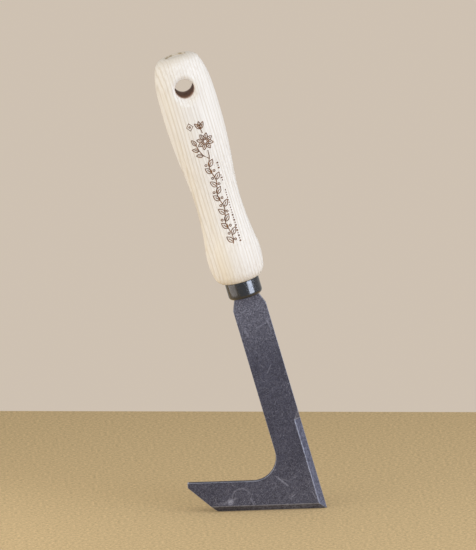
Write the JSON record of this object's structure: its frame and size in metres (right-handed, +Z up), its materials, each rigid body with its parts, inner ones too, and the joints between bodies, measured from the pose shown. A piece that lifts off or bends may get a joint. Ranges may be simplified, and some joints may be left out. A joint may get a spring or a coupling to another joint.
{
  "type": "paving joint weeder",
  "caption": "Hand weeder for paving joints: flat L-shaped steel blade with bevelled edges, short black ferrule and a turned ash handle with a hanging hole.",
  "frame": {"origin": "on the plane of the sole, under the middle of the whole tool, halfway through the blade's thickness", "axes": "+Z up from the sole, -X towards the toe, +X towards the heel, -Y out of the blade's ground face; the shank and handle lean 15 degrees from +Z towards -X"},
  "size_m": [0.0954, 0.0338, 0.2745],
  "materials": {
    "blade_steel": "dark hardened steel, satin, lightly scratched",
    "ferrule_lacquer": "gloss black lacquer",
    "handle_wood": "pale ash, sanded and oiled, satin"
  },
  "bodies": {
    "root": {"blade": "blade_steel", "ferrule": "ferrule_lacquer", "handle": "handle_wood"}
  },
  "joints": []
}
